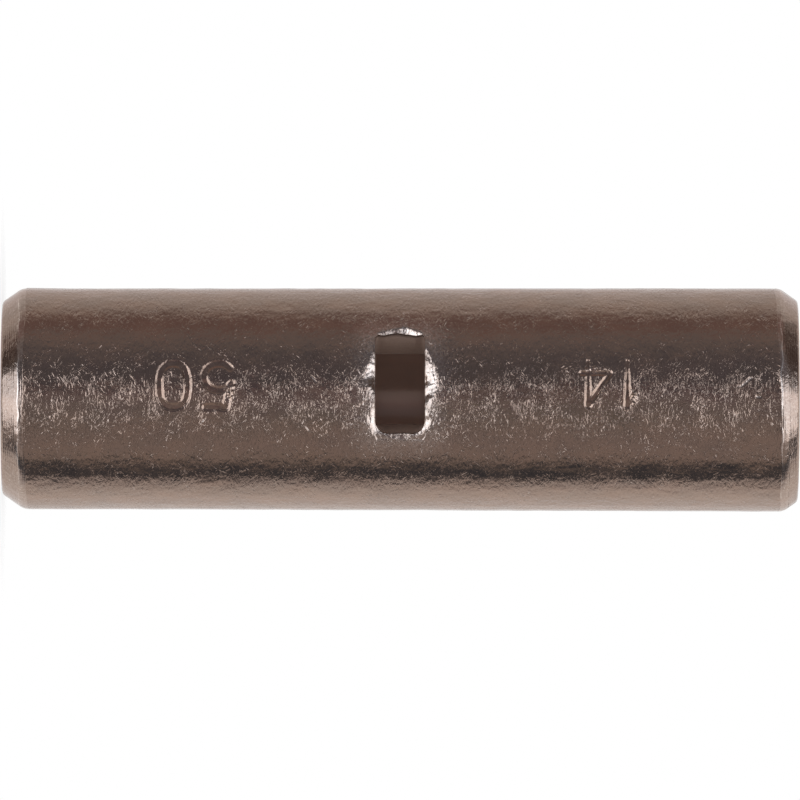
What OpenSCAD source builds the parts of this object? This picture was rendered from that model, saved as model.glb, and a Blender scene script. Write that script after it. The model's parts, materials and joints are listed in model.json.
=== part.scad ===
// Compression splice: a plated copper tube that joins two stranded conductors end to end.
// It stands on one end. Its axis is +Z, and the inspection window faces -Y.

/* [Barrel] */
// Length of the splice from end to end
splice_l = 52; // [44:1:72]
// Diameter of the bore that takes the conductors
bore_d = 10; // [8:0.5:14]
// Thickness of the barrel wall
wall_t = 2.25; // [1.75:0.25:3]

/* [Ends] */
// Length of the bevel along the barrel
bevel_l = 1.3; // [0.9:0.1:2]
// Depth of the bevel into the wall
bevel_d = 0.9; // [0.6:0.05:1]
// Radius that blends the bevel into the barrel
bevel_round = 1; // [0.4:0.1:1.4]
// Radius that blends the bevel into the end face
nose_round = 0.4; // [0.2:0.05:0.5]
// Depth of the lead-in at each mouth of the bore
lead_in = 0.3; // [0.1:0.05:0.4]

/* [Inspection window] */
// Width of the window along the barrel
window_w = 3.2; // [2.6:0.1:3.8]
// Span of the window across the barrel
window_span = 6.5; // [6:0.1:7]
// Radius of the corners at the window's left end
left_corner_r = 0.25; // [0.15:0.05:0.5]
// Radius of the corners at the window's right end
right_corner_r = 0.7; // [0.4:0.05:0.9]
// Slope of the short ends, in degrees, by which the window narrows towards the bore
end_slope = 24; // [10:1:28]

/* [Punched lips] */
// Width of the drawn-in lip on each long side, at the crown of the barrel
lip_w = 0.9; // [0.4:0.1:1.2]
// Depth that the lip is drawn in at the window's edge
lip_d = 0.47; // [0.25:0.01:0.6]
// Radius of the lip's rollover
lip_r = 2; // [1.4:0.1:2.6]
// Width of the arched lip at the left end
left_lip_w = 0.6; // [0.4:0.05:0.8]
// Depth that it is drawn in at the middle of the window's edge
left_lip_d = 0.35; // [0.2:0.01:0.4]
// Radius of its arch
left_lip_r = 1.6; // [1.4:0.1:3]
// Width of the arched lip at the right end
right_lip_w = 0.45; // [0.3:0.05:0.7]
// Depth that it is drawn in at the middle of the window's edge
right_lip_d = 0.18; // [0.1:0.01:0.24]
// Radius of its arch
right_lip_r = 4; // [3:0.5:5]
// Width of the sloping lip round each corner at the right end
corner_lip_w = 0.45; // [0.25:0.05:0.6]
// Depth that it is drawn in at the window's edge
corner_lip_d = 0.26; // [0.18:0.01:0.34]

/* [Hidden] */
$fn = 96;
bore_r = bore_d / 2;
barrel_r = bore_r + wall_t;
window_z = splice_l / 2;
bevel_angle = atan2(bevel_d, bevel_l);
// How far a cutting shape reaches past the surface that it cuts
clear = 0.5;
// How far a rounding bites past its tangent lines, so that its arc crosses them cleanly
bite = 0.004;
// Angle round the barrel from the crown to the window's short ends
window_end_a = asin(window_span / 2 / barrel_r);
// The rollover arc runs from the barrel, lip_w outside the window, to the window's edge, lip_d down
lip_chord = norm([lip_w, lip_d]);
lip_sag = sqrt(lip_r * lip_r - lip_chord * lip_chord / 4);
lip_centre = [
    window_w / 2 + lip_w / 2 + lip_sag * lip_d / lip_chord,
    lip_d / 2 + lip_sag * lip_w / lip_chord
];
// How far a lip's cutting shape goes on past the window's edge
lip_overcut = 0.1;

function polar(r, a) = [r * cos(a), r * sin(a)];

// Waste outside a rounded corner. The faces that meet there look out along angles a and b.
module corner_waste(corner, r, a, b) {
    half = abs(a - b) / 2;
    middle = (a + b) / 2;
    reach = r + clear;
    translate(corner - polar(r / cos(half) + bite, middle))
        difference() {
            polygon([[0, 0], polar(reach, a), polar(reach / cos(half), middle), polar(reach, b)]);
            circle(r);
        }
}

// Waste at the foot of the wall: the bevel, its two roundings and the lead-in of the bore.
module end_waste() {
    nose_x = barrel_r - bevel_d;
    slope = bevel_d / bevel_l;
    polygon([
        [nose_x - clear * slope, -clear],
        [barrel_r + clear * slope, bevel_l + clear],
        [barrel_r + clear * slope, -clear]
    ]);
    corner_waste([barrel_r, bevel_l], bevel_round, 0, -bevel_angle);
    corner_waste([nose_x, 0], nose_round, -bevel_angle, -90);
    polygon([[bore_r - clear, lead_in + clear], [bore_r + lead_in + clear, -clear], [bore_r - clear, -clear]]);
}

// Section of the wall, with the barrel's axis on the left
module wall_section() {
    difference() {
        translate([bore_r, 0])
            square([wall_t, splice_l]);
        end_waste();
        translate([0, splice_l])
            mirror([0, 1])
                end_waste();
    }
}

// Outline of the window's right half and a little more, x across the barrel and y along it
module half_outline(corner_r) {
    reach = window_span / 2;
    translate([-clear, -window_w / 2])
        square([clear + reach - corner_r, window_w]);
    translate([-clear, corner_r - window_w / 2])
        square([clear + reach, window_w - 2 * corner_r]);
    for (side = [-1, 1])
        translate([reach - corner_r, side * (window_w / 2 - corner_r)])
            circle(corner_r);
}

// Section of the window across the barrel, which narrows towards the bore
module window_section() {
    edge_y = barrel_r * cos(window_end_a);
    outer_y = barrel_r + clear;
    inner_y = bore_r / 2;
    outer_x = window_span / 2 + tan(end_slope) * (outer_y - edge_y);
    inner_x = window_span / 2 - tan(end_slope) * (edge_y - inner_y);
    polygon([[-outer_x, -outer_y], [outer_x, -outer_y], [inner_x, -inner_y], [-inner_x, -inner_y]]);
}

// Waste of the window itself, with its middle at the origin's height
module window_waste() {
    intersection() {
        rotate([90, 0, 0])
            linear_extrude(barrel_r + clear) {
                half_outline(right_corner_r);
                mirror([1, 0])
                    half_outline(left_corner_r);
            }
        linear_extrude(window_w + 2 * clear, center = true)
            window_section();
    }
}

// Section of the trough that leaves the two lips, x along the barrel and y down from the crown
module lip_section() {
    difference() {
        translate([-lip_centre[0], -clear])
            square([2 * lip_centre[0], clear + lip_d + lip_overcut]);
        for (side = [-1, 1])
            translate([side * lip_centre[0], lip_centre[1]])
                circle(lip_r);
    }
}

// Waste of the arched lip at one short end: a tilted round bar that leaves the barrel lip_width outside it
module end_lip_waste(side, lip_width, depth, arch_r) {
    rotate([0, 0, side * window_end_a])
        translate([0, depth - barrel_r, 0])
            rotate([0, 0, -side * atan2(depth, lip_width)])
                translate([-side * lip_overcut, -arch_r, 0])
                    rotate([0, side * 90, 0])
                        cylinder(h = lip_width + clear, r = arch_r);
}

// Waste of the sloping lips round the corners of the right end: two cones square to the barrel there
module corner_lip_waste() {
    corner_x = window_span / 2 - right_corner_r;
    spread = corner_lip_w / corner_lip_d;
    for (side = [-1, 1])
        rotate([0, 0, asin(corner_x / barrel_r)])
            translate([0, corner_lip_d + lip_overcut - barrel_r, side * (window_w / 2 - right_corner_r)])
                rotate([90, 0, 0])
                    cylinder(
                        h = corner_lip_d + lip_overcut + clear,
                        r1 = right_corner_r - spread * lip_overcut,
                        r2 = right_corner_r + spread * (corner_lip_d + clear)
                    );
}

// The whole splice, as one piece of tube
module splice_barrel() {
    color("rosybrown")
        difference() {
            rotate_extrude()
                wall_section();
            translate([0, 0, window_z]) {
                window_waste();
                translate([0, -barrel_r, 0])
                    rotate([0, 90, 0])
                        linear_extrude(2 * barrel_r, center = true)
                            lip_section();
                end_lip_waste(-1, left_lip_w, left_lip_d, left_lip_r);
                end_lip_waste(1, right_lip_w, right_lip_d, right_lip_r);
                corner_lip_waste();
            }
        }
}

splice_barrel();
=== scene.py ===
"""Looks of a compression splice: a tumbled, plated copper tube that stands on its end."""
import json
import math

import bpy
import numpy as np
from mathutils import Matrix, Vector


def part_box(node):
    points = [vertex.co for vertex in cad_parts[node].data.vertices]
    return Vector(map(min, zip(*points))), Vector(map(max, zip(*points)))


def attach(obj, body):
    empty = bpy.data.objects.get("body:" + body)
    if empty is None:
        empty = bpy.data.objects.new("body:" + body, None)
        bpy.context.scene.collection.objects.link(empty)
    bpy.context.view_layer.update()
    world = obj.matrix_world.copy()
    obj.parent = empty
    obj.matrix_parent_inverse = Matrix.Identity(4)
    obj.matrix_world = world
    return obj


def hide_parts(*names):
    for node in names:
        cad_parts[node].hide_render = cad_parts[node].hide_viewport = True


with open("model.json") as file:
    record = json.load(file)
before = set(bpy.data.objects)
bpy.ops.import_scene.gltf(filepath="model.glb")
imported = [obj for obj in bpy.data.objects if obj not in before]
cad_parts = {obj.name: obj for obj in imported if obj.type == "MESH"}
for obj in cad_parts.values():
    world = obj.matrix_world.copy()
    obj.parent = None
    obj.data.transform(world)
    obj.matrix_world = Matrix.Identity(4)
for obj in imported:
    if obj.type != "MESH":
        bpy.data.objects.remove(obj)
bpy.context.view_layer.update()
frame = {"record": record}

# Sizes in millimetres. The frame gives the main ones, and the rest repeat the part's own values.
MM = 0.001
mounts = {mount["name"]: mount for mount in frame["record"]["mounts"]}
barrel_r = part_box("splice_barrel")[1].x / MM
splice_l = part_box("splice_barrel")[1].z / MM
bore_r = mounts["conductor_bore"]["dims"]["r_mm"]
lead_in = 0.3
bevel_l = 1.3
bevel_d = 0.9
bevel_round = 1.0
nose_round = 0.4
window_w = 3.2
window_span = 6.5
window_draft = math.radians(24)
lip_w = 0.9
lip_d = 0.47
lip_r = 2.0
lower_lip_w = 0.45
lower_lip_d = 0.18
lower_lip_r = 4.0

# What the photograph shows beside the part's plain form.
# A pair gives the window's upper end, then its lower one.
window_corner_r = (0.25, 0.8)
window_bow = (0.18, 0.0)
window_edge_r = 0.06
corner_lip_w = 0.5
corner_lip_d = 0.21
upper_lip_w = 0.75
upper_lip_d = 0.45
upper_lip_half = 1.4
# Outline of the upper lip: height from the window's middle, then how far its depth falls short there
upper_lip_gable = ((-1.65, 0.42), (-0.5, 0.16), (-0.05, 0.15), (0.2, 0.0), (1.65, 0.42))
# Share of each long lip that is drawn in: at first, then each change with the degrees between which it comes
foot_side_lip = (0.75, (0.35, -20, -7), (-0.8, -7, 12), (0.4, 12, 19))
head_side_lip = (0.75, (0.4, -18, 2), (-0.5, 3, 19))
# A slight swell towards the head, as a share of the radius
swell = 0.006
# Uneven bevels: added depth, its swing from side to side, and how much of it is spared towards the lens
head_bevel = (-0.16, 0.12, 0.08)
foot_bevel = (0.04, -0.03, 0.13)
bevel_wave = 0.025
# Heights of the hand-worn waves, broad and short, and of the lips' ragged edges, fine and broad
worn_waves = (0.01, 0.006)
torn_waves = (0.009, 0.03)
# How softly a corner's lip runs into the long lip beside it
lip_meeting = 0.2

# Stamped figures: where each pair begins and how its strokes are cut
figure_h = 3.4
figure_w = 2.35
stroke_w = 0.5
stroke_d = 0.065
stroke_rim = 0.008
# Where a groove's wall begins and ends, in shares of half a stroke's width
stroke_wall = (0.58, 1.08)
fifty_z = 15.3
fifty_turn = math.radians(1.5)
fifty_pitches = (0.0, 2.85)
fourteen_z = 41.2
fourteen_turn = math.radians(0.0)
fourteen_pitches = (-0.75, 1.3)
# How much finer the strokes of the 14 are at its foot
fourteen_taper = 0.5

# Nicks: height, degrees round, length, width, degrees from the axis, depth
nicks = (
    (48.5, -0.5, 0.9, 0.2, -40, 0.05),
    (49.3, 7, 0.15, 0.28, 0, 0.06),
    (20.4, -1.5, 0.5, 0.16, 50, 0.04),
    (20.0, 24, 0.4, 0.16, 50, 0.04),
    (13.2, 20, 0.5, 0.15, -50, 0.035),
)
# Places where the stamp tore the plate: height, degrees round, half length along, half length round
torn_places = ((14.95, 6.0, 0.4, 0.8), (38.75, -6.6, 1.1, 0.25), (41.25, 7.8, 0.22, 0.35))
crumb_h = 0.03
# Heights at which a burr and a nick count as fully worn
worn_burr = 0.016
worn_nick = 0.04

# Burr where each bevel begins: distance from the end, height, width
burr_at = 1.16
burr_h = 0.021
burr_w = 0.05

# Spacing of the skin's rings: on plain barrel, at the lips and nicks, and at the figures
plain_step = 0.34
close_step = 0.075
figure_step = 0.05
lip_margin = 0.25
fifty_reach = (9.95, 15.6)
fourteen_reach = (37.5, 41.75)
low_nicks_reach = (19.7, 20.8)
high_nicks_reach = (48.1, 49.6)
# Length round the barrel, from the window's middle, over which its spokes lie closest: upwards, downwards
figures_end = (1.75, 1.9)
# Angle past the window's corners in which the spokes move back to their own places
stretch_reach = math.radians(25)
# Rings of the window's rounded edge
rim_steps = 3
# Slack in comparisons of lengths
touch = 1e-6

# View of the photograph, with the window turned a little away from the lens
view_turn = math.radians(8.7)
view_roll = math.radians(0.1)
camera_far = 1070.0
picture_w = 52.32
picture_low = -0.068
sensor_w = 36

window_z = splice_l / 2
window_half = window_w / 2
window_end_turn = math.asin(window_span / 2 / barrel_r)
window_inner_half = window_span / 2
for _ in range(30):
    sunk = barrel_r * math.cos(window_end_turn) - math.sqrt(bore_r**2 - window_inner_half**2)
    window_inner_half = window_span / 2 - math.tan(window_draft) * sunk
girth = 2 * math.pi * barrel_r
random = np.random.default_rng(50)


def spaced(*stops):
    """Values from the first stop to the last, each stretch at about its own spacing."""
    values = [stops[0][0]]
    for (start, step), (end, _) in zip(stops, stops[1:]):
        count = max(1, math.ceil((end - start) / step - touch))
        values += [start + (end - start) * i / count for i in range(1, count + 1)]
    return np.array(values)


def smooth(low, high, value):
    """0 below low, 1 above high, and an even S between them."""
    t = np.clip((value - low) / (high - low), 0, 1)
    return t * t * (3 - 2 * t)


def bell(value, middle, width):
    """1 at the middle, falling off to 0 on both sides."""
    return np.exp(-(((value - middle) / width) ** 2))


def ripple(turn, along, shortest, longest, count):
    """A seeded sum of waves on the barrel, about -1 to 1, that meets itself round the girth."""
    total = np.zeros(np.broadcast(turn, along).shape)
    for _ in range(count):
        length = shortest * (longest / shortest) ** random.random()
        heading = random.random() * 2 * math.pi
        waves = round(girth * math.cos(heading) / length)
        rate = 2 * math.pi * math.sin(heading) / length
        total += np.sin(waves * turn + rate * along + random.random() * 2 * math.pi)
    return total / math.sqrt(count)


def arc(centre, radius, start, end, count):
    """Points along an arc, in (radius, height)."""
    angles = np.radians(np.linspace(start, end, count + 1))
    return [(centre[0] + radius * math.cos(a), centre[1] + radius * math.sin(a)) for a in angles]


def rounding(corner, radius, first, second, count):
    """The arc that rounds a corner whose faces look out along two angles."""
    half = math.radians(abs(first - second)) / 2
    middle = math.radians(first + second) / 2
    back = radius / math.cos(half)
    centre = (corner[0] - back * math.cos(middle), corner[1] - back * math.sin(middle))
    return arc(centre, radius, first, second, count)


def end_profile():
    """Section of the lower end, from the barrel round the bevel to the bore."""
    slope = math.degrees(math.atan2(bevel_d, bevel_l))
    outer = rounding((barrel_r, bevel_l), bevel_round, 0, -slope, 16)
    nose = rounding((barrel_r - bevel_d, 0), nose_round, -slope, -90, 7)
    flat = np.linspace(outer[-1], nose[0], 12)[1:-1]
    face = np.linspace(nose[-1], (bore_r + lead_in, 0), 5)[1:]
    mouth = np.linspace((bore_r + lead_in, 0), (bore_r, lead_in), 4)[1:]
    parts = [("barrel", outer[:1]), ("blend", outer[1:]), ("bevel", flat)]
    parts += [("nose", nose), ("face", face), ("mouth", mouth)]
    return [(name, r, z) for name, points in parts for r, z in points]


def window_ends(offset):
    """Angles from the window's middle to its two short ends, at a distance from its middle line."""
    ends = []
    for corner_r, bow in zip(window_corner_r, window_bow):
        corner = corner_r + window_edge_r
        into_corner = max(abs(offset) - window_half + corner_r, 0)
        half_x = window_span / 2 - corner_r + math.sqrt(max(corner**2 - into_corner**2, 0))
        half_x += bow * max(1 - offset**2, 0)
        ends.append(math.asin(half_x / barrel_r))
    return ends


def window_offsets(grow):
    """Distances from the window's middle line of the rings that cross it, close together in its corners."""
    widest = max(window_corner_r)
    straight = window_half - widest
    middle = np.linspace(-straight, straight, 24)
    corner = straight + (widest + grow) * np.sin(np.radians(np.linspace(0, 90, 13)[1:]))
    return np.concatenate([-corner[::-1], middle, corner])


def barrel_heights(start, end):
    """Heights of the rings on the barrel: close together at the figures, the lips and most of the nicks."""
    across = window_z + window_offsets(window_edge_r)
    lip = window_half + lip_w + lip_margin
    below = spaced(
        (start, plain_step),
        (fifty_reach[0], figure_step), (fifty_reach[1], plain_step),
        (low_nicks_reach[0], close_step), (low_nicks_reach[1], plain_step),
        (window_z - lip, close_step), (across[0], close_step),
    )
    above = spaced(
        (across[-1], close_step), (window_z + lip, plain_step),
        (fourteen_reach[0], figure_step), (fourteen_reach[1], plain_step),
        (high_nicks_reach[0], close_step), (high_nicks_reach[1], plain_step),
        (end, plain_step),
    )
    return np.concatenate([below, across[1:-1], above])


def bore_heights(start):
    """Heights of the rings in the bore. Those of the window match the barrel's rings one to one."""
    across = window_z + window_offsets(0)
    below = spaced((start, 2.0), (across[0] - 1, 0.25), (across[0], 1))
    return np.concatenate([below, across[1:-1], splice_l - below[::-1]])


foot = end_profile()
head = [(name, r, splice_l - z) for name, r, z in foot]
barrel_z = barrel_heights(foot[0][2], head[0][2])
barrel_edge = window_half + window_edge_r
in_window = np.flatnonzero(np.abs(barrel_z - window_z) <= barrel_edge + touch)
bore_z = bore_heights(foot[-1][2])

# One closed section: up the barrel, round the head, down the bore, round the foot
section = [("barrel", barrel_r, z) for z in barrel_z]
section += head[1:]
section += [("bore", bore_r, z) for z in bore_z[-2:0:-1]]
section += foot[:0:-1]
part_of = np.array([name for name, _, _ in section])
section_r = np.array([r for _, r, _ in section])
section_z = np.array([z for _, _, z in section])
rings = len(section)

# Angles round the barrel from the window's middle: close together across the figures
corner_barrel = window_ends(barrel_edge)
corner_bore = math.asin(window_inner_half / bore_r)


def half_turns(corner, closest_end):
    """Angles from the window's middle to the barrel's back, with one on the window's corner.

    Each stop is a length round the barrel, with the spacing that follows it.
    """
    stops = [(0, 0.05), (closest_end, 0.1), (corner * barrel_r, 0.075), (4.0, 0.2)]
    stops += [(5.4, 0.55), (9.0, 1.15), (girth / 2, 1)]
    return spaced(*stops) / barrel_r


upper_turns = half_turns(corner_barrel[0], figures_end[0])
lower_turns = half_turns(corner_barrel[1], figures_end[1])
turns = np.concatenate([-upper_turns[::-1], lower_turns[1:-1]])
spokes = len(turns)
window_left = int(np.argmin(np.abs(turns + corner_barrel[0])))
window_right = int(np.argmin(np.abs(turns - corner_barrel[1])))


def by_end(turn, values):
    """The value of the window's upper or lower end, whichever an angle lies towards."""
    return np.where(turn < 0, values[0], values[1])


def stretched(turn, corners, ends, reach):
    """Angles moved so that the spoke at each of the window's corners lies on its rounded end."""
    size = np.abs(turn)
    corner = by_end(turn, corners)
    end = by_end(turn, ends)
    fade = np.clip(1 - (size - corner) / reach, 0, 1) ** 2
    moved = np.where(size < corner, size * end / corner, size + (end - corner) * fade)
    return np.sign(turn) * moved


def bore_turns():
    """The spokes' angles in the bore, with one on each of the window's corners there."""
    size = np.abs(turns)
    outer = by_end(turns, corner_barrel)
    inside = np.arcsin(np.sin(np.minimum(size, outer)) * math.sin(corner_bore) / np.sin(outer))
    share = (size - outer) / (math.pi - outer)
    outside = corner_bore + share * (math.pi - corner_bore)
    return np.sign(turns) * np.where(size <= outer, inside, outside)


def ring_turns(index, plain_bore):
    """Angles of one ring's points."""
    offset = section_z[index] - window_z
    name = part_of[index]
    if name == "barrel" and abs(offset) <= barrel_edge + touch:
        return stretched(turns, corner_barrel, window_ends(offset), stretch_reach)
    if name in ("bore", "mouth"):
        return plain_bore
    if name == "face":
        share = (barrel_r - bevel_d - section_r[index]) / (barrel_r - bevel_d - bore_r - lead_in)
        return turns + (plain_bore - turns) * np.clip(share, 0, 1)
    return turns


plain_bore = bore_turns()
turn = np.array([ring_turns(i, plain_bore) for i in range(rings)])
height = np.repeat(section_z[:, None], spokes, axis=1)
on_barrel = (part_of == "barrel")[:, None]


def uneven_bevel(end_z, inward, mean, swing, spared):
    """Moves one end's bevel along the barrel, unevenly round it. Returns the change of radius."""
    deeper = mean + swing * np.cos(turns + math.pi / 2) + bevel_wave * ripple(turns, 0, 2.5, 9.0, 8)
    deeper = deeper - spared * bell(turns, 0.15, 0.8)
    longer = deeper * bevel_l / bevel_d
    near = np.abs(section_z - end_z)
    nose_in = barrel_r - bevel_d
    fade_l = 2.5
    along = np.zeros(rings)
    inwards = np.zeros(rings)
    ours = near < splice_l / 2
    along[ours & (part_of == "barrel")] = 1
    along = along * np.clip(1 - (near - foot[0][2]) / fade_l, 0, 1) ** 2
    along[ours & (part_of == "blend")] = 1
    flat = ours & (part_of == "bevel")
    along[flat] = np.clip(near[flat] / bevel_l, 0, 1)
    inwards[flat] = 1 - along[flat]
    inwards[ours & (part_of == "nose")] = 1
    face = ours & (part_of == "face")
    inwards[face] = np.clip((section_r[face] - bore_r - lead_in) / (nose_in - bore_r - lead_in), 0, 1)
    height[:] += inward * along[:, None] * longer[None, :]
    return -inwards[:, None] * deeper[None, :]


def burr(end_z):
    """The fine raised line that the cutter left where one end's bevel begins, strongest towards the lens."""
    from_end = np.abs(height - end_z)
    line = burr_at + 0.05 * ripple(turns, 0, 1.2, 6.0, 10)
    strength = burr_h * (1 + 0.5 * ripple(turns, 0, 0.8, 4.0, 10))
    strength = strength * (0.3 + 0.7 * bell(turns, 0.2, 0.5))
    cut = np.isin(part_of, ["blend", "bevel"])[:, None] & (from_end < splice_l / 2)
    return np.where(cut, strength * bell(from_end, line, burr_w), 0)


end_shift = uneven_bevel(0, 1, *foot_bevel) + uneven_bevel(splice_l, -1, *head_bevel)
burrs = burr(0) + burr(splice_l)
end_shift += burrs


def curve(centre, radii, start, end, count=24, fullness=1.0):
    """Points along part of an oval, angles in degrees. A fullness below 1 squares its sides."""
    angles = np.radians(np.linspace(start, end, count + 1))
    across = np.sign(np.cos(angles)) * np.abs(np.cos(angles)) ** fullness
    along = np.sign(np.sin(angles)) * np.abs(np.sin(angles)) ** fullness
    return np.stack([centre[0] + radii[0] * across, centre[1] + radii[1] * along], 1)


def figure_strokes():
    """Strokes of the plain figures used here, in a box figure_w wide and figure_h high."""
    w = figure_w - stroke_w
    h = figure_h - stroke_w
    bowl = curve((0.45 * w, 0.31 * h), (0.52 * w, 0.31 * h), 150, -140)
    return {
        "0": [curve((w / 2, h / 2), (w / 2, h / 2), 0, 360, 48, 0.8)],
        "1": [[(0.5 * w, 0), (0.5 * w, h)], [(0.5 * w, h), (0.3 * w, 0.82 * h)]],
        "4": [[(0.77 * w, 0), (0.77 * w, h), (0, 0.28 * h), (w, 0.28 * h)]],
        "5": [[(0.9 * w, h), (0.2 * w, h), (0.06 * w, 0.5 * h)], bowl],
    }


# A distance that stands for nowhere near
FAR = 1e9


def distance_to_stroke(x, y, stroke):
    """Distance of points from a line of straight pieces."""
    nearest = np.full(x.shape, FAR)
    points = np.asarray(stroke, float)
    for (x0, y0), (x1, y1) in zip(points, points[1:]):
        length = max((x1 - x0) ** 2 + (y1 - y0) ** 2, 1e-9)
        t = np.clip(((x - x0) * (x1 - x0) + (y - y0) * (y1 - y0)) / length, 0, 1)
        nearest = np.minimum(nearest, np.hypot(x - x0 - t * (x1 - x0), y - y0 - t * (y1 - y0)))
    return nearest


def figures_distance(text, start_z, turned, pitches, taper):
    """Distance from the strokes of a pair of figures, which read with the head end on their left.

    A taper makes the strokes finer towards the figures' feet.
    """
    strokes = figure_strokes()
    across = barrel_r * (turn - turned) + (figure_h - stroke_w) / 2
    nearest = np.full(turn.shape, FAR)
    for figure, shift in zip(text, pitches):
        along = start_z - stroke_w / 2 - shift - height
        for stroke in strokes[figure]:
            nearest = np.minimum(nearest, distance_to_stroke(along, across, stroke))
    fineness = 1 - taper * (1 - np.clip(across / (figure_h - stroke_w), 0, 1))
    return np.where(on_barrel, nearest / fineness, FAR)


def groove(distance, depth):
    """Height of a stamped stroke beside its middle line: a flat groove, narrow walls and a raised rim."""
    t = distance / (stroke_w / 2)
    floor = -depth * (1 - smooth(*stroke_wall, t))
    rim = stroke_rim * bell(t, 1.35, 0.25)
    return floor + rim


fifty = figures_distance("50", fifty_z, fifty_turn, fifty_pitches, 0.0)
fourteen = figures_distance("14", fourteen_z, fourteen_turn, fourteen_pitches, fourteen_taper)
uneven = ripple(turn, height, 0.5, 2.0, 24)
pressed = stroke_d * (1 + 0.3 * uneven) * (0.6 + 0.4 * smooth(-1.5, 0.3, barrel_r * turn))
stamped = groove(fifty, pressed) + groove(fourteen, pressed)


def ding(at_z, at_degrees, length, width, heading, depth):
    """A small nick with a raised lip, as heights over the barrel."""
    along = height - at_z
    across = barrel_r * (turn - math.radians(at_degrees))
    lead = math.cos(math.radians(heading))
    lean = math.sin(math.radians(heading))
    run = along * lead + across * lean
    side = across * lead - along * lean
    t = np.hypot(np.maximum(np.abs(run) - length / 2, 0), side) / (width / 2)
    dent = -depth * (1 - smooth(0, 1, t))
    return np.where(on_barrel, dent + 0.3 * depth * bell(t, 1.3, 0.3), 0)


dings = sum(ding(*nick) for nick in nicks)

crumbled = np.zeros(turn.shape)
for at_z, at_degrees, half_z, half_across in torn_places:
    across = barrel_r * (turn - math.radians(at_degrees))
    away = np.hypot((height - at_z) / half_z, across / half_across)
    crumbled = np.maximum(crumbled, np.where(on_barrel, bell(away, 0, 1), 0))
crumbs = crumb_h * crumbled * ripple(turn, height, 0.22, 0.5, 40)

# Shape of the skin: the section turned round, then worn, stamped and drawn in
hand_worn = worn_waves[0] * ripple(turn, height, 4.0, 12.0, 24)
hand_worn = hand_worn + worn_waves[1] * ripple(turn, height, 1.5, 3.0, 40)
outside = np.isin(part_of, ["barrel", "blend", "bevel", "nose"])[:, None]
swelling = np.where(outside, swell * (2 * height / splice_l - 1), 0)
relief = np.where(on_barrel, hand_worn + stamped + dings + crumbs, 0)
radius = (section_r[:, None] + end_shift) * (1 + swelling) + relief
x = radius * np.sin(turn)
y = -radius * np.cos(turn)

# The long lips' rollover arc, as in the part, and how ragged all the lips are
lip_chord = math.hypot(lip_w, lip_d)
lip_sag = math.sqrt(lip_r**2 - lip_chord**2 / 4)
lip_z = window_half + lip_w / 2 + lip_sag * lip_d / lip_chord
lip_y = lip_d / 2 + lip_sag * lip_w / lip_chord
lip_overcut = 0.1
offset = np.abs(height - window_z)
torn = torn_waves[0] * ripple(turn, height, 0.25, 0.7, 40)
torn = torn + torn_waves[1] * ripple(turn, height, 0.7, 2.0, 24)
# How ragged the lips of the window's two short ends are, as a share of that
end_ragged = (0.35, 1.0)
# A depth that stands for no lip
NO_LIP = -1


def side_lip():
    """How far the long sides' trough lies below the barrel, as a length along Y."""
    rise = np.sqrt(np.maximum(lip_r**2 - np.maximum(lip_z - offset, 0) ** 2, 0))
    drop = np.minimum(lip_y - rise, lip_d + lip_overcut)
    return drop - barrel_r - y


def changing(degrees, value, *changes):
    """A value with its changes, going round the barrel."""
    for change, low, high in changes:
        value = value + change * smooth(low, high, degrees)
    return value


def lip_share():
    """How much of each long side's lip is drawn in, going round the barrel."""
    degrees = np.degrees(turn)
    foot_side = changing(degrees, *foot_side_lip)
    head_side = changing(degrees, *head_side_lip)
    return np.where(height < window_z, foot_side, head_side)


def end_lip():
    """How far each short end's lip lies below the barrel: a gable at the upper end, an arch at the lower."""
    past_end = np.maximum(barrel_r * (np.abs(turn) - window_end_turn), -lip_overcut)
    places, shortfalls = np.transpose(upper_lip_gable)
    softened = [np.interp(height - window_z + shift, places, shortfalls) for shift in (-0.1, 0, 0.1)]
    past_corner = 2 * np.maximum(offset - upper_lip_half, 0)
    upper = upper_lip_d * (1 - past_end / upper_lip_w) - sum(softened) / 3 - past_corner
    arch = lower_lip_r - np.sqrt(np.maximum(lower_lip_r**2 - offset**2, 0))
    lower = lower_lip_d * (1 - past_end / lower_lip_w) - arch
    return by_end(turn, (upper, lower))


def corner_lip():
    """How far the sloping lips round the lower end's corners lie below the barrel."""
    corner_r = window_corner_r[1]
    from_corner = turn - math.asin((window_span / 2 - corner_r) / barrel_r)
    from_axis = np.hypot(barrel_r * np.sin(from_corner), offset - window_half + corner_r)
    level = barrel_r - corner_lip_d + (from_axis - corner_r) * corner_lip_d / corner_lip_w
    return barrel_r * np.cos(from_corner) - level


def drawn_in(depth, soft, ragged):
    """A lip's depth, made ragged and let down softly to nothing, and how much of the lip shows."""
    near = on_barrel & (np.abs(turn) < 1) & (depth > -0.4)
    value = np.where(near, depth + ragged * torn, NO_LIP)
    drop = np.where(near, 0.5 * (value + np.sqrt(value**2 + soft**2)), 0)
    bright = np.where(near, smooth(-0.02, 0.1, value), 0)
    return drop, bright


side_depth = np.where(offset < lip_z, side_lip(), NO_LIP)
side_drop, side_bright = drawn_in(side_depth, 0.05, 1.0)
side_drop = side_drop * lip_share()
side_bright = side_bright * np.minimum(lip_share(), 1) ** 3

at_end = (np.abs(turn) > 0.9 * by_end(turn, corner_barrel)) & (offset < barrel_edge + 0.3)
end_depth = np.where(at_end, end_lip(), NO_LIP)
end_drop, end_bright = drawn_in(end_depth, 0.03, by_end(turn, end_ragged))
dim_middle = smooth(0.05, 0.35, np.abs(height - window_z + 0.2))
end_bright = end_bright * by_end(turn, (dim_middle, smooth(0.6, 1.3, offset)))

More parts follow.
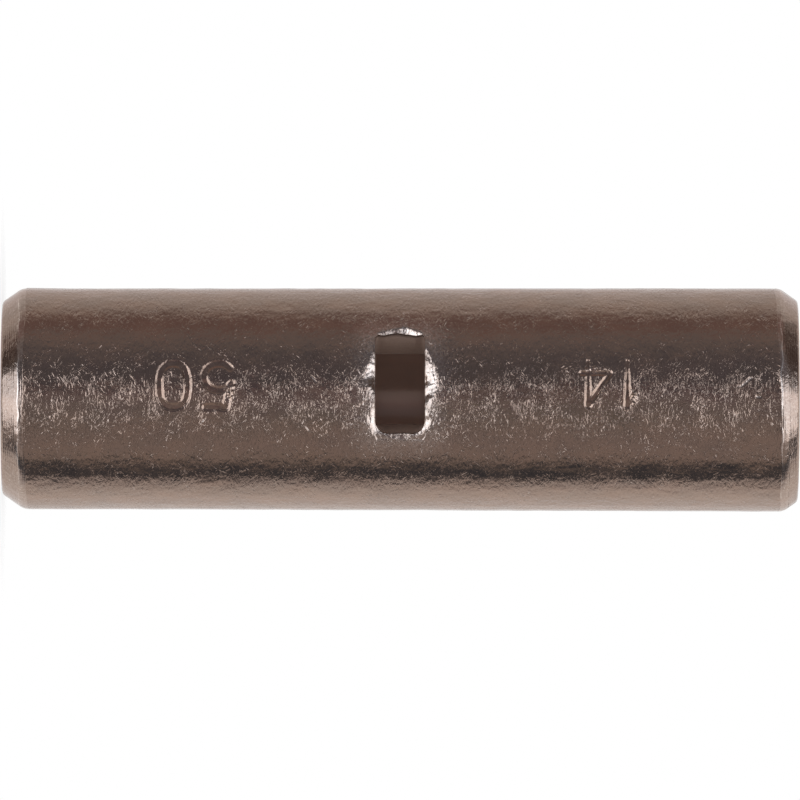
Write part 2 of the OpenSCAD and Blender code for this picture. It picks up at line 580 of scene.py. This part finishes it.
at_corner = offset > window_half - window_corner_r[1]
corner_depth = np.where(at_corner, corner_lip(), NO_LIP)
corner_drop, corner_bright = drawn_in(corner_depth, 0.04, 1.0)
meeting = lip_meeting * np.sqrt(corner_drop * side_drop) / (corner_drop + side_drop + 1e-9)
blended = 0.5 * (corner_drop + side_drop + np.hypot(corner_drop - side_drop, meeting))
end_drop = np.maximum(end_drop, blended - side_drop)
y = y + side_drop
x = x - end_drop * np.sin(turn)
y = y + end_drop * np.cos(turn)
lipped = np.maximum(np.maximum(side_bright, end_bright), corner_bright)

points = np.stack([x, y, height], 2).reshape(-1, 3)


def window_loop():
    """Pairs of points, barrel and bore, once round the window's outline."""
    low_ring, high_ring = in_window[0], in_window[-1]
    bore_rings = {}
    for i in np.flatnonzero(part_of == "bore"):
        bore_rings[round(section_z[i], 5)] = i
    heights = window_z + window_offsets(0)
    partner = {ring: bore_rings[round(z, 5)] for ring, z in zip(range(low_ring, high_ring + 1), heights)}
    loop = [(low_ring, j) for j in range(window_left, window_right)]
    loop += [(i, window_right) for i in range(low_ring, high_ring)]
    loop += [(high_ring, j) for j in range(window_right, window_left, -1)]
    loop += [(i, window_left) for i in range(high_ring, low_ring, -1)]
    return [(i * spokes + j, partner[i] * spokes + j) for i, j in loop]


# Rings of the window's walls: the rounded edge, then down to the bore, with the last one close to it
loop = window_loop()
outer_points = points[[a for a, _ in loop]]
inner_points = points[[b for _, b in loop]]
rim_share = window_edge_r / (inner_points[:, 1] - outer_points[:, 1])
rim_points = inner_points.copy()
rim_points[:, 0] = outer_points[:, 0] + (inner_points[:, 0] - outer_points[:, 0]) * rim_share
rim_points[:, 1] = outer_points[:, 1] + window_edge_r
to_rim = rim_points - outer_points
wall_rings = []
for step in range(rim_steps):
    swing = (step + 1) / rim_steps * math.pi / 2
    rounded = outer_points + to_rim * math.sin(swing)
    rounded[:, 1] = outer_points[:, 1] + to_rim[:, 1] * (1 - math.cos(swing))
    wall_rings.append(rounded)
wall_shares = np.append(np.linspace(0, 0.97, 6)[1:], 1)
for share in wall_shares[:-1]:
    wall_rings.append(rim_points + (inner_points - rim_points) * share)
wall_points = np.concatenate(wall_rings)
all_points = np.concatenate([points, wall_points])

# Faces of the skin, with the window left open, and of the window's walls
ring_index, spoke_index = np.meshgrid(np.arange(rings), np.arange(spokes), indexing="ij")
next_ring = (ring_index + 1) % rings
next_spoke = (spoke_index + 1) % spokes
bore_window = np.flatnonzero((part_of == "bore") & (np.abs(section_z - window_z) <= window_half + touch))
between = (spoke_index >= window_left) & (spoke_index < window_right)
open_barrel = (ring_index >= in_window[0]) & (ring_index < in_window[-1])
open_bore = (ring_index >= bore_window[0]) & (ring_index < bore_window[-1])
kept = ~(between & (open_barrel | open_bore))
skin_corners = [
    (ring_index, spoke_index),
    (ring_index, next_spoke),
    (next_ring, next_spoke),
    (next_ring, spoke_index),
]
skin_faces = np.stack([(i * spokes + j)[kept] for i, j in skin_corners], 1)

chains = [np.array([a for a, _ in loop])]
chains += [len(points) + k * len(loop) + np.arange(len(loop)) for k in range(len(wall_rings))]
chains += [np.array([b for _, b in loop])]
wall_faces = []
for upper, lower in zip(chains, chains[1:]):
    wall_faces.append(np.stack([upper, lower, np.roll(lower, -1), np.roll(upper, -1)], 1))
wall_faces = np.concatenate(wall_faces)
faces = np.concatenate([skin_faces, wall_faces])

mesh = bpy.data.meshes.new("splice_barrel_skin")
mesh.from_pydata((all_points * MM).tolist(), [], faces.tolist())
mesh.update()
barrel = bpy.data.objects.new("splice_barrel_skin", mesh)
bpy.context.scene.collection.objects.link(barrel)
mesh.polygons.foreach_set("use_smooth", np.ones(len(mesh.polygons), bool))
mesh.set_sharp_from_angle(angle=math.radians(50))


def set_point_value(name, grid_values, rim_value, wall_value):
    """Stores a number on each vertex for the material to read."""
    rim_count = len(loop) * rim_steps
    walls = np.full(len(wall_points), float(wall_value))
    walls[:rim_count] = rim_value
    values = np.concatenate([np.asarray(grid_values, float).reshape(-1), walls])
    mesh.attributes.new(name, "FLOAT", "POINT").data.foreach_set("value", values.astype(np.float32))


# How worn the plate is, from 0 to 1: by part, and at the lips, figures, tears, burrs, nicks and window
part_wear = {"barrel": 0.0, "blend": 0.2, "bevel": 0.15, "nose": 0.15, "face": 0.3, "mouth": 0.3, "bore": 0.0}
by_part = np.array([part_wear[name] for name in part_of])[:, None]
near_stamp = np.maximum(bell(fifty, 0, 0.33), bell(fourteen, 0, 0.33))
stamped_edge = bell(np.minimum(fifty, fourteen) / (stroke_w / 2), 1.0, 0.28)
past_side = np.maximum(offset - window_half, 0)
past_end = np.maximum(barrel_r * (np.abs(turn) - window_end_turn), 0)
scuff_reach = 1.6
scuffed = np.where(on_barrel, np.exp(-(past_side**2 + past_end**2) / scuff_reach**2), 0)
wear = np.maximum.reduce([
    np.broadcast_to(by_part, turn.shape),
    0.5 * lipped,
    0.08 * near_stamp,
    0.08 * stamped_edge,
    0.4 * crumbled,
    0.85 * np.clip(burrs / worn_burr, 0, 1),
    0.5 * np.clip(-dings / worn_nick, 0, 1),
    0.3 * scuffed,
])
set_point_value("wear", wear, 0.1, 0.0)

# How much copper shows through, where the stamp went through the plate
copper = np.maximum.reduce([0.6 * bell(fourteen, 0, 0.3), 0.5 * bell(fifty, 0, 0.3), 0.7 * crumbled])
set_point_value("copper", copper, 0.1, 0.0)

# Where a cutter turned the ends, and where the tumbled grain is smeared: there, at the lips and figures,
# and along one side of the barrel
turned = np.isin(part_of, ["blend", "bevel", "nose", "face"])[:, None] * np.ones(turn.shape)
set_point_value("turned", turned, 0.0, 0.0)
rubbed_side = bell(np.degrees(turn), 48, 7)
smeared = np.maximum.reduce([0.75 * turned, 0.5 * lipped, 0.8 * near_stamp, 0.55 * rubbed_side])
set_point_value("smeared", smeared, 0.6, 0.6)

# The bore, from its plated mouths to its brown middle, and the sheared walls of the window
from_mouth = np.minimum(height, splice_l - height)
inner = np.where((part_of == "bore")[:, None], smooth(1.5, 12.0, from_mouth), 0)
set_point_value("inner", inner, 0.0, 0.0)
set_point_value("sheared", np.zeros(turn.shape), 0.2, 1.0)


def set_maps():
    """Two maps: the skin unrolled in millimetres for the finish, and a tidy one without overlaps."""
    steps = np.hypot(np.diff(section_r, append=section_r[0]), np.diff(section_z, append=section_z[0]))
    run = np.concatenate([[0], np.cumsum(steps)])
    first_bore = int(np.flatnonzero(part_of == "bore")[0])
    last_bore = int(np.flatnonzero(part_of == "bore")[-1])
    kept_rings = ring_index[kept]
    kept_spokes = spoke_index[kept]
    ring_corner = np.stack([kept_rings, kept_rings, kept_rings + 1, kept_rings + 1], 1)
    spoke_corner = np.stack([kept_spokes, kept_spokes + 1, kept_spokes + 1, kept_spokes], 1)
    across = np.append(turns, math.pi)[spoke_corner] * barrel_r
    along = run[ring_corner]
    unrolled = np.stack([across, along], 2)
    in_bore = ((kept_rings >= first_bore - 1) & (kept_rings <= last_bore))[:, None]
    from_foot = np.where(along > run[last_bore], along - run[-1], along)
    margin = 0.5
    foot_run = run[-1] - run[last_bore + 1]
    skin_map = np.stack([across + girth / 2 + margin, from_foot + foot_run + margin], 2)
    bore_scale = 0.34
    bore_across = (across + girth / 2) * bore_scale + girth + 2 * margin
    bore_along = (along - run[first_bore - 1]) * 0.5 + margin
    tidy = np.where(in_bore[:, :, None], np.stack([bore_across, bore_along], 2), skin_map)

    count = len(loop)
    lengths = np.linalg.norm(np.roll(outer_points, -1, 0) - outer_points, axis=1)
    around = np.append(0, np.cumsum(lengths))
    rim_depth = 0.18
    wall_depth = 2.1
    depth = np.concatenate([[0, 0.06, 0.12, rim_depth], rim_depth + wall_depth * wall_shares])
    level = np.repeat(np.arange(len(chains) - 1), count)
    place = np.tile(np.arange(count), len(chains) - 1)
    wall_across = depth[np.stack([level, level + 1, level + 1, level], 1)]
    wall_along = around[np.stack([place, place, place + 1, place + 1], 1)]
    wall_unrolled = np.stack([wall_across + girth, wall_along], 2)
    wall_map = np.stack([wall_across + girth + 2 * margin, wall_along + 0.55 * splice_l], 2)

    side = max(girth * (1 + bore_scale) + 3 * margin, skin_map[:, :, 1].max() + margin)
    for name, values in (
        ("Unrolled", np.concatenate([unrolled, wall_unrolled])),
        ("OFBake", np.concatenate([tidy, wall_map]) / side),
    ):
        layer = mesh.uv_layers.new(name=name)
        layer.uv.foreach_set("vector", values.reshape(-1).astype(np.float32))


set_maps()


def add(tree, kind, inputs=None, **settings):
    """A shader node with its settings, its values and its links."""
    node = tree.nodes.new(kind)
    for name, value in settings.items():
        setattr(node, name, value)
    for name, value in (inputs or {}).items():
        if isinstance(value, bpy.types.NodeSocket):
            tree.links.new(value, node.inputs[name])
        else:
            node.inputs[name].default_value = value
    return node


def math_of(tree, operation, first, second=0.0, third=0.0):
    """One arithmetic node's result."""
    return add(tree, "ShaderNodeMath", {0: first, 1: second, 2: third}, operation=operation).outputs[0]


def ranged(tree, value, low, high, to_low=0.0, to_high=1.0):
    """A value carried smoothly from one range to another."""
    inputs = {"Value": value, "From Min": low, "From Max": high, "To Min": to_low, "To Max": to_high}
    return add(tree, "ShaderNodeMapRange", inputs, interpolation_type="SMOOTHSTEP").outputs["Result"]


def mixed(tree, share, first, second):
    """Two colours mixed."""
    node = add(tree, "ShaderNodeMix", data_type="RGBA")
    for socket, value in ((node.inputs[0], share), (node.inputs[6], first), (node.inputs[7], second)):
        if isinstance(value, bpy.types.NodeSocket):
            tree.links.new(value, socket)
        else:
            socket.default_value = value
    return node.outputs[2]


def point_value(tree, name):
    """A number that the mesh stores on its vertices."""
    return add(tree, "ShaderNodeAttribute", attribute_name=name).outputs["Fac"]


def noise(tree, vector, scale, detail=2.0, dimensions="3D"):
    """A noise texture's outputs."""
    inputs = {"Vector": vector, "Scale": scale, "Detail": detail}
    return add(tree, "ShaderNodeTexNoise", inputs, noise_dimensions=dimensions).outputs


def shifted(tree, vector, by, amount):
    """A vector moved across and along by an amount of another."""
    inputs = {0: by, 1: (amount, amount, 0), 2: vector}
    return add(tree, "ShaderNodeVectorMath", inputs, operation="MULTIPLY_ADD").outputs[0]


def strokes_height(tree, unrolled, patchy, heading, length, width, share, depth):
    """Short scratches in one direction, more of them where patchy is high, as heights in millimetres."""
    scale = (1 / width, 1 / length, 1)
    turned_map = add(tree, "ShaderNodeMapping", {"Vector": unrolled, "Rotation": (0, 0, heading)})
    sized = add(tree, "ShaderNodeMapping", {"Vector": turned_map.outputs[0], "Scale": scale})
    inputs = {"Vector": sized.outputs[0], "Scale": 1.0}
    cells = add(tree, "ShaderNodeTexVoronoi", inputs, voronoi_dimensions="2D")
    chosen = add(tree, "ShaderNodeSeparateColor", {"Color": cells.outputs["Color"]})
    near = ranged(tree, cells.outputs["Distance"], 0.0, 0.42, 1.0, 0.0)
    chance = math_of(tree, "ADD", chosen.outputs[0], patchy)
    present = ranged(tree, chance, 1 - share, 1 - share + 0.2)
    return math_of(tree, "MULTIPLY", math_of(tree, "MULTIPLY", near, present), -depth)


# Scratches of the tumbled plate: radians from the axis, length, width, share of places, depth, in millimetres
tumbling_marks = (
    (0.3, 0.12, 0.09, 0.3, 0.008),
    (1.80, 0.55, 0.12, 0.15, 0.016),
    (1.25, 0.50, 0.115, 0.15, 0.016),
    (0.85, 0.60, 0.12, 0.15, 0.016),
    (-0.75, 0.55, 0.12, 0.15, 0.016),
    (2.30, 0.50, 0.12, 0.15, 0.016),
    (1.45, 1.00, 0.12, 0.025, 0.026),
    (1.95, 1.30, 0.12, 0.025, 0.026),
    (0.95, 1.20, 0.12, 0.025, 0.026),
    (0.15, 0.50, 0.1, 0.05, 0.009),
    (-0.20, 0.60, 0.1, 0.05, 0.009),
    (0.2, 2.6, 0.16, 0.012, 0.016),
    (-0.15, 2.2, 0.15, 0.012, 0.016),
)

# Colours of the finish, each from its darker to its lighter shade
dull_plate = ((0.3, 0.225, 0.185, 1), (0.34, 0.245, 0.195, 1))
fresh_plate = ((0.68, 0.58, 0.52, 1), (0.88, 0.78, 0.71, 1))
bare_copper = ((0.27, 0.175, 0.125, 1), (0.42, 0.285, 0.215, 1))
brown_bore = ((0.66, 0.52, 0.445, 1), (0.735, 0.58, 0.495, 1))
sheared_wall = ((0.27, 0.19, 0.15, 1), (0.36, 0.26, 0.205, 1))


def tumbled_plate():
    """Tin plate over copper, dulled to taupe, tumbled, and worn bright at its edges."""
    material = bpy.data.materials.new("tumbled_plate")
    material.use_nodes = True
    tree = material.node_tree
    shader = tree.nodes["Principled BSDF"]
    place = add(tree, "ShaderNodeTexCoord").outputs["Object"]
    solid = add(tree, "ShaderNodeVectorMath", {0: place, "Scale": 1 / MM}, operation="SCALE").outputs[0]
    drawn_out = add(tree, "ShaderNodeMapping", {"Vector": solid, "Scale": (1, 1, 0.6)}).outputs[0]
    unrolled = add(tree, "ShaderNodeUVMap", uv_map="Unrolled").outputs[0]
    wear_value = point_value(tree, "wear")
    copper_value = point_value(tree, "copper")
    turned_value = point_value(tree, "turned")
    inner_value = point_value(tree, "inner")
    sheared_value = point_value(tree, "sheared")
    smeared_value = point_value(tree, "smeared")

    cloudy = noise(tree, drawn_out, 0.7, 4.0)["Fac"]
    grain = noise(tree, solid, 7.0, 3.0)["Fac"]
    waves = noise(tree, drawn_out, 1.1, 2.0)["Fac"]
    bent = noise(tree, unrolled, 0.6, dimensions="2D")["Color"]
    curled = shifted(tree, unrolled, bent, 0.9)
    swayed = shifted(tree, unrolled, bent, 0.3)
    fine = add(tree, "ShaderNodeMapping", {"Vector": swayed, "Scale": (2.3, 6.1, 1)}).outputs[0]
    speckle = noise(tree, fine, 1.0, dimensions="2D")["Fac"]
    patches = noise(tree, unrolled, 0.9, 3.0, "2D")["Fac"]

    # Heights in millimetres: scratches, waves, grain and speckle, and the cutter's rings at the ends
    patchy = math_of(tree, "MULTIPLY_ADD", patches, 0.3, -0.15)
    marks = strokes_height(tree, curled, patchy, *tumbling_marks[0])
    for mark in tumbling_marks[1:]:
        marks = math_of(tree, "ADD", marks, strokes_height(tree, curled, patchy, *mark))
    rings_place = add(tree, "ShaderNodeSeparateXYZ", {"Vector": solid}).outputs["Z"]
    rings_sway = math_of(tree, "MULTIPLY", cloudy, 9.0)
    rings_wave = math_of(tree, "SINE", math_of(tree, "MULTIPLY_ADD", rings_place, 52.0, rings_sway))
    rings_height = math_of(tree, "MULTIPLY", math_of(tree, "MULTIPLY", rings_wave, 0.0015), turned_value)
    scratches = math_of(tree, "MULTIPLY", marks, ranged(tree, smeared_value, 0.0, 1.0, 1.0, 0.2))
    total = math_of(tree, "MULTIPLY_ADD", waves, 0.045, scratches)
    total = math_of(tree, "MULTIPLY_ADD", grain, 0.004, total)
    speckle_h = ranged(tree, patches, 0.3, 0.7, 0.0255, 0.0445)
    speckle_h = math_of(tree, "MULTIPLY_ADD", wear_value, 0.02, speckle_h)
    speckle_h = math_of(tree, "MULTIPLY", speckle_h, ranged(tree, smeared_value, 0.0, 1.0, 1.0, 0.0))
    total = math_of(tree, "MULTIPLY_ADD", speckle, speckle_h, total)
    total = math_of(tree, "ADD", total, rings_height)
    firmness = ranged(tree, inner_value, 0.0, 1.0, 1.0, 0.04)
    bump = add(tree, "ShaderNodeBump", {"Strength": firmness, "Distance": MM, "Height": total})

    scraped = math_of(tree, "ADD", wear_value, ranged(tree, marks, -0.004, -0.018, 0.0, 0.3))
    rubbed = ranged(tree, math_of(tree, "MULTIPLY_ADD", grain, 0.5, scraped), 0.25, 1.1)
    dull = mixed(tree, ranged(tree, cloudy, 0.3, 0.75), *dull_plate)
    colour = mixed(tree, rubbed, dull, mixed(tree, grain, *fresh_plate))
    colour = mixed(tree, copper_value, colour, mixed(tree, grain, *bare_copper))
    colour = mixed(tree, inner_value, colour, mixed(tree, cloudy, *brown_bore))
    colour = mixed(tree, sheared_value, colour, mixed(tree, grain, *sheared_wall))
    uneven_gloss = math_of(tree, "ADD", cloudy, math_of(tree, "MULTIPLY", grain, 0.4))
    satin = ranged(tree, uneven_gloss, 0.4, 0.95, 0.13, 0.2)
    roughness = math_of(tree, "MULTIPLY_ADD", inner_value, -0.03, satin)
    roughness = math_of(tree, "MULTIPLY_ADD", sheared_value, 0.3, roughness)
    oxide = math_of(tree, "ADD", inner_value, sheared_value)

    tree.links.new(colour, shader.inputs["Base Color"])
    tree.links.new(roughness, shader.inputs["Roughness"])
    tree.links.new(bump.outputs[0], shader.inputs["Normal"])
    tree.links.new(ranged(tree, oxide, 0.0, 1.0, 1.0, 0.2), shader.inputs["Metallic"])
    shader.inputs["Specular IOR Level"].default_value = 0.0
    return material


mesh.materials.append(tumbled_plate())
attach(barrel, "root")
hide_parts("splice_barrel")

# Floor: its radius, where it begins and ends to fade out, and how much of it is plain white
floor_r = 15 * MM
floor_fade = (7.5 * MM, 14 * MM)
floor_white = 0.85


def pale_floor():
    """A round pale floor that fades out, so that the white surroundings take over."""
    material = bpy.data.materials.new("pale_floor")
    material.use_nodes = True
    tree = material.node_tree
    output = tree.nodes["Material Output"]
    tree.nodes.remove(tree.nodes["Principled BSDF"])
    place = add(tree, "ShaderNodeTexCoord").outputs["Object"]
    far = add(tree, "ShaderNodeVectorMath", {0: place}, operation="LENGTH").outputs["Value"]
    shown = ranged(tree, far, *floor_fade, 1.0, 0.0)
    paper = add(tree, "ShaderNodeBsdfDiffuse", {"Color": (0.9, 0.895, 0.885, 1)}).outputs[0]
    white = add(tree, "ShaderNodeEmission", {"Color": (1, 1, 1, 1), "Strength": 1.0}).outputs[0]
    clear = add(tree, "ShaderNodeBsdfTransparent").outputs[0]
    path = add(tree, "ShaderNodeLightPath").outputs
    direct = math_of(tree, "MAXIMUM", path["Is Camera Ray"], path["Is Glossy Ray"])
    direct = math_of(tree, "MAXIMUM", direct, path["Is Transmission Ray"])
    whiteness = math_of(tree, "MULTIPLY", direct, floor_white)
    lit = add(tree, "ShaderNodeMixShader", {0: whiteness, 1: paper, 2: white}).outputs[0]
    surface = add(tree, "ShaderNodeMixShader", {0: shown, 1: clear, 2: lit}).outputs[0]
    tree.links.new(surface, output.inputs["Surface"])
    angles = np.linspace(0, 2 * math.pi, 96, endpoint=False)
    rim = [(floor_r * math.cos(a), floor_r * math.sin(a), 0) for a in angles]
    floor_mesh = bpy.data.meshes.new("floor")
    floor_mesh.from_pydata(rim, [], [tuple(range(len(rim)))])
    floor_mesh.materials.append(material)
    floor = bpy.data.objects.new("floor", floor_mesh)
    floor.visible_glossy = False
    floor.visible_shadow = False
    bpy.context.scene.collection.objects.link(floor)
    return floor


pale_floor()

# The studio round the splice: degrees up in the picture from the lens, then the light that comes from there
studio = (
    (-180, (0.86, 0.8, 0.78)), (-128, (1.0, 0.97, 0.95)), (-116, (0.96, 0.95, 0.94)),
    (-106, (0.84, 0.82, 0.82)), (-98, (0.7, 0.67, 0.68)), (-93, (0.27, 0.26, 0.27)),
    (-87, (0.078, 0.088, 0.107)), (-80, (0.075, 0.09, 0.12)), (-73, (0.215, 0.205, 0.2)),
    (-66, (0.47, 0.42, 0.4)), (-44, (0.49, 0.44, 0.435)), (-30, (0.46, 0.42, 0.405)),
    (-14, (0.34, 0.325, 0.33)), (4, (0.345, 0.305, 0.325)), (9, (0.24, 0.185, 0.205)),
    (16, (0.155, 0.155, 0.185)), (42, (0.21, 0.21, 0.24)), (56, (0.265, 0.255, 0.265)),
    (70, (0.335, 0.3, 0.295)), (82, (0.29, 0.21, 0.2)), (91, (0.28, 0.2, 0.19)),
    (98, (0.36, 0.3, 0.28)), (104, (0.5, 0.45, 0.43)), (110, (0.6, 0.56, 0.54)),
    (124, (0.72, 0.69, 0.67)), (145, (0.79, 0.73, 0.71)), (180, (0.8, 0.72, 0.7)),
)
gap_light = (0.1, 0.1, 0.11, 1)
flag_light = (0.08, 0.065, 0.06, 1)
end_light = (0.9, 0.88, 0.87, 1)
white_light = (1, 1, 1, 1)


def toward(tree, direction, side):
    """How far a direction points to one side, from -1 to 1."""
    node = add(tree, "ShaderNodeVectorMath", {0: direction, 1: side}, operation="DOT_PRODUCT")
    return node.outputs["Value"]


def studio_bands(tree, angle):
    """The studio's light by the angle from the lens."""
    share = math_of(tree, "MULTIPLY_ADD", angle, 1 / (2 * math.pi), 0.5)
    bands = add(tree, "ShaderNodeValToRGB", {"Fac": share})
    ramp = bands.color_ramp
    for _ in range(len(studio) - 2):
        ramp.elements.new(0.5)
    for element, (degrees, colour) in zip(ramp.elements, studio):
        element.position = degrees / 360 + 0.5
        element.color = (*colour, 1)
    return bands.outputs["Color"]


def surroundings():
    """A white backdrop behind the splice, a dim room on the lens side, and white to the lens itself."""
    world = bpy.data.worlds.new("studio")
    world.use_nodes = True
    bpy.context.scene.world = world
    tree = world.node_tree
    background = tree.nodes["Background"]
    direction = add(tree, "ShaderNodeTexCoord").outputs["Generated"]
    near = toward(tree, direction, (math.sin(view_turn), -math.cos(view_turn), 0))
    over = toward(tree, direction, (-math.cos(view_turn), -math.sin(view_turn), 0))
    angle = math_of(tree, "ARCTAN2", over, near)
    along = add(tree, "ShaderNodeSeparateXYZ", {"Vector": direction}).outputs["Z"]
    slant = math_of(tree, "ABSOLUTE", along)

    # A dim gap on each side of the lens
    gap = math_of(tree, "MULTIPLY", ranged(tree, slant, 0.12, 0.2), ranged(tree, slant, 0.3, 0.42, 0.7, 0.0))
    gap = math_of(tree, "MULTIPLY", gap, ranged(tree, near, 0.45, 0.75))
    lit = mixed(tree, gap, studio_bands(tree, angle), gap_light)

    # A dark flag above each end, the head's one reaching further back, and pale ends beyond
    foot_wide = ranged(tree, angle, 1.5, 1.8, 1.0, 0.0)
    head_wide = ranged(tree, angle, 1.9, 2.5, 1.0, 0.0)
    headward = ranged(tree, along, -0.1, 0.1)
    wider = math_of(tree, "SUBTRACT", head_wide, foot_wide)
    wide = math_of(tree, "MULTIPLY_ADD", headward, wider, foot_wide)
    flag = math_of(tree, "MULTIPLY", ranged(tree, angle, 0.65, 1.0), wide)
    flag = math_of(tree, "MULTIPLY", flag, ranged(tree, slant, 0.55, 0.72, 0.0, 0.85))
    lit = mixed(tree, flag, lit, flag_light)
    lit = mixed(tree, ranged(tree, slant, 0.96, 1.0), lit, end_light)

    # White where the lens looks, and where the metal mirrors the backdrop straight behind it
    path = add(tree, "ShaderNodeLightPath").outputs
    behind = ranged(tree, math_of(tree, "ABSOLUTE", angle), 2.85, 3.1)
    mirrored = math_of(tree, "MULTIPLY", path["Is Glossy Ray"], behind)
    seen = math_of(tree, "MAXIMUM", path["Is Camera Ray"], path["Is Transmission Ray"])
    seen = math_of(tree, "MAXIMUM", seen, mirrored)
    tree.links.new(mixed(tree, seen, lit, white_light), background.inputs["Color"])
    background.inputs["Strength"].default_value = 1.0


# Soft lamps: name, degrees up from the lens, degrees along the splice, width and height in metres, radiance
lamps = (
    ("right_softbox", -15, 51, 0.29, 0.37, 1.6),
    ("left_softbox", -3, -51, 0.29, 0.37, 1.6),
    ("right_fill", 17, 24, 0.08, 0.1, 1.35),
    ("left_fill", 13, -30, 0.07, 0.1, 1.35),
)
lamp_far = 0.3
lamp_colour = (0.93, 1.0, 1.08)


def softbox(name, up, along, wide, tall, radiance):
    """An oval soft lamp, placed by its angles from the lens and turned to the window."""
    turned = view_turn - math.radians(up)
    level = math.cos(math.radians(along))
    rise = math.sin(math.radians(along))
    outward = Vector((level * math.sin(turned), -level * math.cos(turned), rise))
    lamp = bpy.data.lights.new(name, "AREA")
    lamp.shape = "ELLIPSE"
    lamp.size = wide
    lamp.size_y = tall
    lamp.energy = radiance * math.pi * math.pi * wide * tall / 4
    lamp.color = lamp_colour
    holder = bpy.data.objects.new(name, lamp)
    aim = Vector((0, 0, window_z * MM))
    holder.location = aim + outward * lamp_far
    holder.rotation_euler = (aim - holder.location).to_track_quat("-Z", "Y").to_euler()
    holder.visible_camera = False
    bpy.context.scene.collection.objects.link(holder)


surroundings()
for lamp_values in lamps:
    softbox(*lamp_values)


def photo_camera():
    """A long lens on the window side, level with mid-length and rolled so that the splice lies across."""
    lens = bpy.data.cameras.new("photo_camera")
    lens.sensor_width = sensor_w
    lens.lens = sensor_w * camera_far / picture_w
    lens.clip_start = 0.05
    lens.clip_end = 10
    camera = bpy.data.objects.new("photo_camera", lens)
    back = Vector((math.sin(view_turn), -math.cos(view_turn), 0))
    right = Vector((0, 0, 1))
    up = back.cross(right)
    facing = Matrix((right, up, back)).transposed().to_4x4() @ Matrix.Rotation(view_roll, 4, "Z")
    centre = Vector((0, 0, window_z * MM)) - up * picture_low * MM
    camera.matrix_world = Matrix.Translation(centre + back * camera_far * MM) @ facing
    bpy.context.scene.collection.objects.link(camera)
    bpy.context.scene.camera = camera


photo_camera()
bpy.context.scene.view_settings.view_transform = "Standard"
